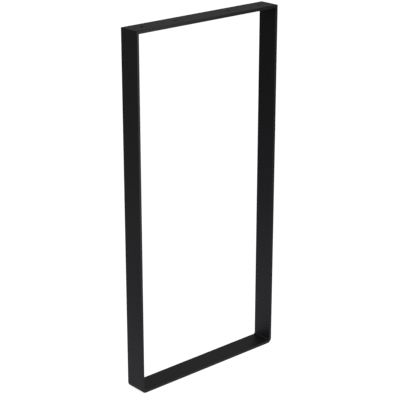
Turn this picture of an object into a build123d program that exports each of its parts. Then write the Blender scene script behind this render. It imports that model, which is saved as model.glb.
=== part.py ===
"""Closed table leg frame of flat steel strip.

One strip is folded into a U: it stands on the floor with its middle run, and its two ends are the
uprights. A second strip lies across the upright ends, is welded to them and ground flush, and is
screwed to the underside of a table top.

Millimetres. X runs across the frame, Y through the width of the strip, Z up from the floor.
"""
import os

from build123d import *

# The frame as a whole
frame_height = 720.0
frame_width = 350.0

# The flat strip that both pieces are cut from
strip_width = 45.0
strip_thickness = 6.0
edge_radius = 0.8

# The two folds of the U
bend_inside_radius = 4.0

# The row of screw holes in the top strip, placed from each of its ends
screw_hole_diameter = 6.5
end_to_outer_hole = 30.0
outer_to_inner_hole = 80.0

# Places that follow from the sizes above; middle is halfway through the strip's thickness
upright_top = frame_height - strip_thickness
middle_x = (frame_width - strip_thickness) / 2
middle_z = strip_thickness / 2
outer_hole_x = frame_width / 2 - end_to_outer_hole
inner_hole_x = outer_hole_x - outer_to_inner_hole


def folded_u_strip():
    """The strip's eased section, swept along its middle: down, across the floor and up again."""
    with BuildPart() as strip:
        with BuildLine() as middle_line:
            FilletPolyline(
                (-middle_x, 0, upright_top),
                (-middle_x, 0, middle_z),
                (middle_x, 0, middle_z),
                (middle_x, 0, upright_top),
                radius=bend_inside_radius + strip_thickness / 2,
            )
        with BuildSketch(Plane(middle_line.line @ 0, x_dir=(1, 0, 0), z_dir=middle_line.line % 0)):
            RectangleRounded(strip_thickness, strip_width, edge_radius)
        sweep()
    return strip.part


def top_strip():
    """A straight length, eased above and at its ends, square below where it is welded and ground."""
    with BuildPart() as strip:
        with Locations((0, 0, upright_top)):
            Box(frame_width, strip_width, strip_thickness, align=(Align.CENTER, Align.CENTER, Align.MIN))
        square_edges = strip.faces().sort_by(Axis.Z)[0].edges()
        fillet(strip.edges() - square_edges, edge_radius)
        hole_row = (-outer_hole_x, -inner_hole_x, inner_hole_x, outer_hole_x)
        with Locations(*[(x, 0, frame_height) for x in hole_row]):
            Hole(screw_hole_diameter / 2)
    return strip.part


os.makedirs("parts", exist_ok=True)
for piece in (folded_u_strip, top_strip):
    export_step(piece(), f"parts/{piece.__name__}.step")
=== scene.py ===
"""A closed table leg frame of flat steel strip, coated matt black, on a white studio floor.

Metres, in the frame of the solids: X runs across the leg frame, Y through the width of the strip,
Z up from the floor.
"""
import math

import bpy
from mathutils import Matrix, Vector


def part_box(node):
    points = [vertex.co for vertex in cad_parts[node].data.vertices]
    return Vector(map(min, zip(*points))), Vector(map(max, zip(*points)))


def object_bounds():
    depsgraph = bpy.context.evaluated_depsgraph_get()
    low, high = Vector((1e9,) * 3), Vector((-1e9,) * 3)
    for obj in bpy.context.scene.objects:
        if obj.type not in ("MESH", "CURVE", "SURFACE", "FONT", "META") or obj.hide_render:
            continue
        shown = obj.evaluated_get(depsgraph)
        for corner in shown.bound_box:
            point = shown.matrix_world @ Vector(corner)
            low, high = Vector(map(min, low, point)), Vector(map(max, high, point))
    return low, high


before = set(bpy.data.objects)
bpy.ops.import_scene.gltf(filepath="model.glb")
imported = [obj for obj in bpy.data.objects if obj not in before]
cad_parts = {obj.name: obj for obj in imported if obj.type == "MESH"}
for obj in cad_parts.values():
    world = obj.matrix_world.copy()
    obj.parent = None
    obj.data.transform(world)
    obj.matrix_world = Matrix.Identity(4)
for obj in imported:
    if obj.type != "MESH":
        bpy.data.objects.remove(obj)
cad_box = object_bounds()

# Folded strip: one hot-rolled flat steel strip, folded twice over a press tool into a U.
# Its middle run stands on the floor and its two ends are the uprights. The welded frame is
# powder-coated as a whole, so one black coat lies over the rolled steel and the ground welds.
folded_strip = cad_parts["folded_u_strip"]
FOLDED_STRIP_STOCK = 0.0
BEAD_SIZE = 0.0012
BEAD_SMOOTHNESS = 0.6
PEEL_SIZE = 0.0050
PEEL_DETAIL = 2.0
LINE_WIDTH = 0.0028
LINE_LENGTH = 0.35
LINE_DETAIL = 3.0
SEAM_REACH = 0.011
SEAM_DETAIL = 1.0
COAT_BLACK = (0.0120, 0.0120, 0.0138, 1.0)
COAT_GREY = (0.0185, 0.0185, 0.0202, 1.0)
GREY_GAIN = 2.0
COAT_ROUGHNESS = (0.44, 0.58)
BEAD_HEIGHT_MM = 0.060
PEEL_HEIGHT_MM = 0.045
LINE_HEIGHT_MM = 0.020
SEAM_HEIGHT_MM = 0.120
MILLIMETRE = 0.001


def new_group(name, inputs, outputs):
    """An empty shader node group with its named sockets; returns it with its two ends."""
    group = bpy.data.node_groups.new(name, "ShaderNodeTree")
    for socket, kind in inputs.items():
        group.interface.new_socket(socket, in_out="INPUT", socket_type=kind)
    for socket, kind in outputs.items():
        group.interface.new_socket(socket, in_out="OUTPUT", socket_type=kind)
    given = group.nodes.new("NodeGroupInput").outputs
    result = group.nodes.new("NodeGroupOutput").inputs
    return group, given, result


def add_math(tree, operation, first, second=0.0):
    """A math node on two sockets or numbers; returns its value."""
    node = tree.nodes.new("ShaderNodeMath")
    node.operation = operation
    for socket, value in zip(node.inputs, (first, second)):
        if isinstance(value, bpy.types.NodeSocket):
            tree.links.new(value, socket)
        else:
            socket.default_value = value
    return node.outputs["Value"]


def powder_grain_group():
    """Cured powder: small rounded beads that flowed together, over a broad soft orange peel."""
    group, given, result = new_group(
        "Powder grain",
        {"Position": "NodeSocketVector", "Bead Size": "NodeSocketFloat", "Peel Size": "NodeSocketFloat"},
        {"Beads": "NodeSocketFloat", "Peel": "NodeSocketFloat"},
    )
    beads = group.nodes.new("ShaderNodeTexVoronoi")
    beads.feature = "SMOOTH_F1"
    beads.inputs["Smoothness"].default_value = BEAD_SMOOTHNESS
    group.links.new(given["Position"], beads.inputs["Vector"])
    group.links.new(add_math(group, "DIVIDE", 1.0, given["Bead Size"]), beads.inputs["Scale"])
    group.links.new(add_math(group, "SUBTRACT", 1.0, beads.outputs["Distance"]), result["Beads"])
    peel = group.nodes.new("ShaderNodeTexNoise")
    peel.inputs["Detail"].default_value = PEEL_DETAIL
    group.links.new(given["Position"], peel.inputs["Vector"])
    group.links.new(add_math(group, "DIVIDE", 1.0, given["Peel Size"]), peel.inputs["Scale"])
    group.links.new(peel.outputs["Fac"], result["Peel"])
    return group


def rolled_lines_group():
    """Faint lines that the rolling mill leaves along the strip: narrow across Y, long in X and Z.

    Stock tells one rolled length from another: each has lines of its own.
    """
    group, given, result = new_group(
        "Rolled lines",
        {
            "Position": "NodeSocketVector",
            "Line Width": "NodeSocketFloat",
            "Line Length": "NodeSocketFloat",
            "Stock": "NodeSocketFloat",
        },
        {"Lines": "NodeSocketFloat"},
    )
    along = add_math(group, "DIVIDE", 1.0, given["Line Length"])
    across = add_math(group, "DIVIDE", 1.0, given["Line Width"])
    stretch = group.nodes.new("ShaderNodeCombineXYZ")
    for axis, rate in (("X", along), ("Y", across), ("Z", along)):
        group.links.new(rate, stretch.inputs[axis])
    place = group.nodes.new("ShaderNodeVectorMath")
    place.operation = "MULTIPLY"
    group.links.new(given["Position"], place.inputs[0])
    group.links.new(stretch.outputs["Vector"], place.inputs[1])
    lines = group.nodes.new("ShaderNodeTexNoise")
    lines.noise_dimensions = "4D"
    lines.inputs["Scale"].default_value = 1.0
    lines.inputs["Detail"].default_value = LINE_DETAIL
    group.links.new(place.outputs["Vector"], lines.inputs["Vector"])
    group.links.new(given["Stock"], lines.inputs["W"])
    group.links.new(lines.outputs["Fac"], result["Lines"])
    return group


def ground_weld_group():
    """The two seams under the top strip's ends, ground flush: soft bands of uneven steel."""
    group, given, result = new_group(
        "Ground weld",
        {
            "Position": "NodeSocketVector",
            "Seam Height": "NodeSocketFloat",
            "Seam Side": "NodeSocketFloat",
            "Reach": "NodeSocketFloat",
        },
        {"Band": "NodeSocketFloat", "Unevenness": "NodeSocketFloat"},
    )
    split = group.nodes.new("ShaderNodeSeparateXYZ")
    group.links.new(given["Position"], split.inputs["Vector"])
    from_middle = add_math(group, "ABSOLUTE", split.outputs["X"])
    above_seam = add_math(group, "SUBTRACT", split.outputs["Z"], given["Seam Height"])
    beside_seam = add_math(group, "SUBTRACT", from_middle, given["Seam Side"])
    nearness = []
    for offset in (above_seam, beside_seam):
        near = group.nodes.new("ShaderNodeMapRange")
        near.interpolation_type = "SMOOTHSTEP"
        near.inputs["To Min"].default_value = 1.0
        near.inputs["To Max"].default_value = 0.0
        group.links.new(add_math(group, "ABSOLUTE", offset), near.inputs["Value"])
        group.links.new(given["Reach"], near.inputs["From Max"])
        nearness.append(near.outputs["Result"])
    band = add_math(group, "MULTIPLY", *nearness)
    group.links.new(band, result["Band"])
    wave = group.nodes.new("ShaderNodeTexNoise")
    wave.inputs["Detail"].default_value = SEAM_DETAIL
    group.links.new(given["Position"], wave.inputs["Vector"])
    group.links.new(add_math(group, "DIVIDE", 1.0, given["Reach"]), wave.inputs["Scale"])
    group.links.new(add_math(group, "MULTIPLY", wave.outputs["Fac"], band), result["Unevenness"])
    return group


powder_grain = powder_grain_group()
rolled_lines = rolled_lines_group()
ground_weld = ground_weld_group()


def place_group(tree, group, position, values):
    """The group in a material, on the material's position and with its own values."""
    node = tree.nodes.new("ShaderNodeGroup")
    node.node_tree = group
    tree.links.new(position, node.inputs["Position"])
    for socket, value in values.items():
        node.inputs[socket].default_value = value
    return node.outputs


def powder_coat(name, stock):
    """Matt black powder coat: near-black, dull broad gloss, fine grain, steel just showing through."""
    coat = bpy.data.materials.new(name)
    coat.use_nodes = True
    tree = coat.node_tree
    shader = tree.nodes["Principled BSDF"]
    position = tree.nodes.new("ShaderNodeTexCoord").outputs["Object"]
    top_low, top_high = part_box("top_strip")
    strip_thickness = top_high[2] - top_low[2]
    grain = place_group(tree, powder_grain, position, {"Bead Size": BEAD_SIZE, "Peel Size": PEEL_SIZE})
    steel = place_group(
        tree, rolled_lines, position,
        {"Line Width": LINE_WIDTH, "Line Length": LINE_LENGTH, "Stock": stock},
    )
    weld = place_group(
        tree, ground_weld, position,
        {"Seam Height": top_low[2], "Seam Side": top_high[0] - strip_thickness / 2, "Reach": SEAM_REACH},
    )

    # Peel times lines is a quarter on average, and the gain brings it halfway from black to grey.
    shade = add_math(tree, "MULTIPLY", grain["Peel"], steel["Lines"])
    colour = tree.nodes.new("ShaderNodeMix")
    colour.data_type = "RGBA"
    colour.inputs["A"].default_value = COAT_BLACK
    colour.inputs["B"].default_value = COAT_GREY
    tree.links.new(add_math(tree, "MULTIPLY", shade, GREY_GAIN), colour.inputs["Factor"])
    tree.links.new(colour.outputs["Result"], shader.inputs["Base Color"])

    rough = tree.nodes.new("ShaderNodeMapRange")
    rough.inputs["To Min"].default_value, rough.inputs["To Max"].default_value = COAT_ROUGHNESS
    tree.links.new(add_math(tree, "MULTIPLY", grain["Beads"], grain["Peel"]), rough.inputs["Value"])
    tree.links.new(rough.outputs["Result"], shader.inputs["Roughness"])

    unground = add_math(tree, "SUBTRACT", 1.0, weld["Band"])
    unground_lines = add_math(tree, "MULTIPLY", steel["Lines"], unground)
    height = add_math(tree, "MULTIPLY", grain["Beads"], BEAD_HEIGHT_MM)
    for layer, layer_height in (
        (grain["Peel"], PEEL_HEIGHT_MM),
        (unground_lines, LINE_HEIGHT_MM),
        (weld["Unevenness"], SEAM_HEIGHT_MM),
    ):
        height = add_math(tree, "ADD", height, add_math(tree, "MULTIPLY", layer, layer_height))
    bump = tree.nodes.new("ShaderNodeBump")
    bump.inputs["Distance"].default_value = MILLIMETRE
    tree.links.new(height, bump.inputs["Height"])
    tree.links.new(bump.outputs["Normal"], shader.inputs["Normal"])
    return coat


folded_strip.data.materials.clear()
folded_strip.data.materials.append(powder_coat("Coat on folded strip", FOLDED_STRIP_STOCK))

# Top strip: a straight length of the same strip, laid across the two upright ends, welded
# there and ground flush before coating. Its row of drilled holes takes the table top's screws.
# It is cut from another length of stock, so its rolled lines don't run on from the uprights.
top_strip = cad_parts["top_strip"]
TOP_STRIP_STOCK = 7.0
top_strip.data.materials.clear()
top_strip.data.materials.append(powder_coat("Coat on top strip", TOP_STRIP_STOCK))

# Floor: a plain white studio floor that the frame stands on. Around the frame it carries a painted pool
# of cool white light, a glow the camera doesn't see but the coat mirrors: bright at the frame's foot,
# gone a step away.
# The painted pool's steps are metres from the middle of the frame and the brightness there.
FLOOR_HALF = 60.0
FLOOR_WHITE = (0.82, 0.82, 0.82, 1.0)
FLOOR_ROUGHNESS = 0.9
FLOOR_GLOW = 0.88
PAINTED_POOL_STEPS = ((0.0, 0.43), (0.35, 0.43), (0.7, 0.23), (1.5, 0.0))
PAINTED_POOL_RADIUS = PAINTED_POOL_STEPS[-1][0]
PAINTED_POOL_COOL_WHITE = (0.97, 0.97, 1.06)
NEUTRAL_WHITE = (1.0, 1.0, 1.0)


def add_ramp(tree, value, stops, white):
    """A ramp through (position, level) stops, from black to the given white; returns its colour."""
    ramp = tree.nodes.new("ShaderNodeValToRGB")
    elements = ramp.color_ramp.elements
    for position, _ in stops[len(elements):]:
        elements.new(position)
    for element, (position, level) in zip(elements, stops):
        element.position = position
        element.color = (*(level * channel for channel in white), 1.0)
    tree.links.new(value, ramp.inputs["Fac"])
    return ramp.outputs["Color"]


def mix_by_camera_ray(tree, lighting, seen, output):
    """Lets the scene be lit by one shader, while the camera itself sees another."""
    ray = tree.nodes.new("ShaderNodeLightPath")
    choice = tree.nodes.new("ShaderNodeMixShader")
    tree.links.new(ray.outputs["Is Camera Ray"], choice.inputs["Fac"])
    tree.links.new(lighting, choice.inputs[1])
    tree.links.new(seen, choice.inputs[2])
    tree.links.new(choice.outputs["Shader"], tree.nodes[output].inputs["Surface"])


floor_mesh = bpy.data.meshes.new("floor")
floor_corners = [(x * FLOOR_HALF, y * FLOOR_HALF, 0.0) for x, y in ((-1, -1), (1, -1), (1, 1), (-1, 1))]
floor_mesh.from_pydata(floor_corners, [], [(0, 1, 2, 3)])
floor = bpy.data.objects.new("floor", floor_mesh)
bpy.context.collection.objects.link(floor)
floor_material = bpy.data.materials.new("White floor")
floor_material.use_nodes = True
floor_tree = floor_material.node_tree
floor_shader = floor_tree.nodes["Principled BSDF"]
floor_shader.inputs["Base Color"].default_value = FLOOR_WHITE
floor_shader.inputs["Roughness"].default_value = FLOOR_ROUGHNESS
floor_shader.inputs["Emission Color"].default_value = (*NEUTRAL_WHITE, 1.0)
floor_shader.inputs["Emission Strength"].default_value = FLOOR_GLOW
floor_place = floor_tree.nodes.new("ShaderNodeTexCoord")
distance = floor_tree.nodes.new("ShaderNodeVectorMath")
distance.operation = "LENGTH"
floor_tree.links.new(floor_place.outputs["Object"], distance.inputs[0])
# Painted light: the floor glows cool white near the frame for reflections and bounces only, a painted
# pool of light.
painted_pool_reach = add_math(floor_tree, "DIVIDE", distance.outputs["Value"], PAINTED_POOL_RADIUS)
painted_pool_stops = [(radius / PAINTED_POOL_RADIUS, level) for radius, level in PAINTED_POOL_STEPS]
painted_pool_glow = floor_tree.nodes.new("ShaderNodeEmission")
floor_tree.links.new(add_ramp(floor_tree, painted_pool_reach, painted_pool_stops, PAINTED_POOL_COOL_WHITE), painted_pool_glow.inputs["Color"])
mix_by_camera_ray(floor_tree, painted_pool_glow.outputs["Emission"], floor_shader.outputs["BSDF"], "Material Output")
floor_mesh.materials.append(floor_material)

# Studio light: pale walls all round, a dark gap above them and a pale ceiling, given as steps from
# level to straight up and the brightness there. Two tall strip softboxes close to the left upright
# face it: one in front for the strip's front edges, a weak one behind for the upright's outer face.
SURROUND = ((0.0, 0.20), (0.15, 0.24), (0.30, 0.48), (0.50, 0.06), (0.80, 0.05), (1.0, 0.72))
world = bpy.data.worlds.new("Studio")
world.use_nodes = True
bpy.context.scene.world = world
sky = world.node_tree
surround = sky.nodes["Background"]
direction = sky.nodes.new("ShaderNodeTexCoord")
direction_parts = sky.nodes.new("ShaderNodeSeparateXYZ")
sky.links.new(direction.outputs["Generated"], direction_parts.inputs["Vector"])
upward = direction_parts.outputs["Z"]
sky.links.new(add_ramp(sky, upward, SURROUND, NEUTRAL_WHITE), surround.inputs["Color"])
backdrop = sky.nodes.new("ShaderNodeBackground")
backdrop.inputs["Color"].default_value = (*NEUTRAL_WHITE, 1.0)
mix_by_camera_ray(sky, surround.outputs["Background"], backdrop.outputs["Background"], "World Output")


def add_strip_softbox(name, place, width, height, watts):
    """An upright area light at the given place, facing the left upright and unseen by the camera."""
    light = bpy.data.lights.new(name, "AREA")
    light.shape = "RECTANGLE"
    light.size = width
    light.size_y = height
    light.energy = watts
    softbox = bpy.data.objects.new(name, light)
    left_upright = Vector((cad_box[0][0], 0.0, place.z))
    softbox.location = place
    softbox.rotation_euler = (left_upright - place).to_track_quat("-Z", "Y").to_euler()
    softbox.visible_camera = False
    bpy.context.collection.objects.link(softbox)


add_strip_softbox("front_softbox", Vector((0.18, -0.55, 0.51)), width=0.20, height=0.98, watts=1.35)
add_strip_softbox("left_softbox", Vector((-0.40, 0.20, 0.60)), width=0.15, height=0.90, watts=0.11)

# Camera: in front of the frame, to its left and above, as in the photograph. It looks at the
# middle of the frame through a long lens, so that the uprights stay close to parallel.
VIEW_FROM_LEFT = math.radians(41.4)
VIEW_DOWN = math.radians(20.0)
VIEW_DISTANCE = 2.61
VIEW_AIM = Vector((0.0015, 0.0080, 0.3525))
SENSOR_WIDTH_MM = 36.0
LENS_MM = 120.0
camera_data = bpy.data.cameras.new("camera")
camera_data.sensor_width = SENSOR_WIDTH_MM
camera_data.lens = LENS_MM
camera = bpy.data.objects.new("camera", camera_data)
level_distance = VIEW_DISTANCE * math.cos(VIEW_DOWN)
back = Vector((
    -math.sin(VIEW_FROM_LEFT) * level_distance,
    -math.cos(VIEW_FROM_LEFT) * level_distance,
    math.sin(VIEW_DOWN) * VIEW_DISTANCE,
))
camera.location = VIEW_AIM + back
camera.rotation_euler = (-back).to_track_quat("-Z", "Y").to_euler()
bpy.context.collection.objects.link(camera)
bpy.context.scene.camera = camera
bpy.context.scene.view_settings.view_transform = "Standard"
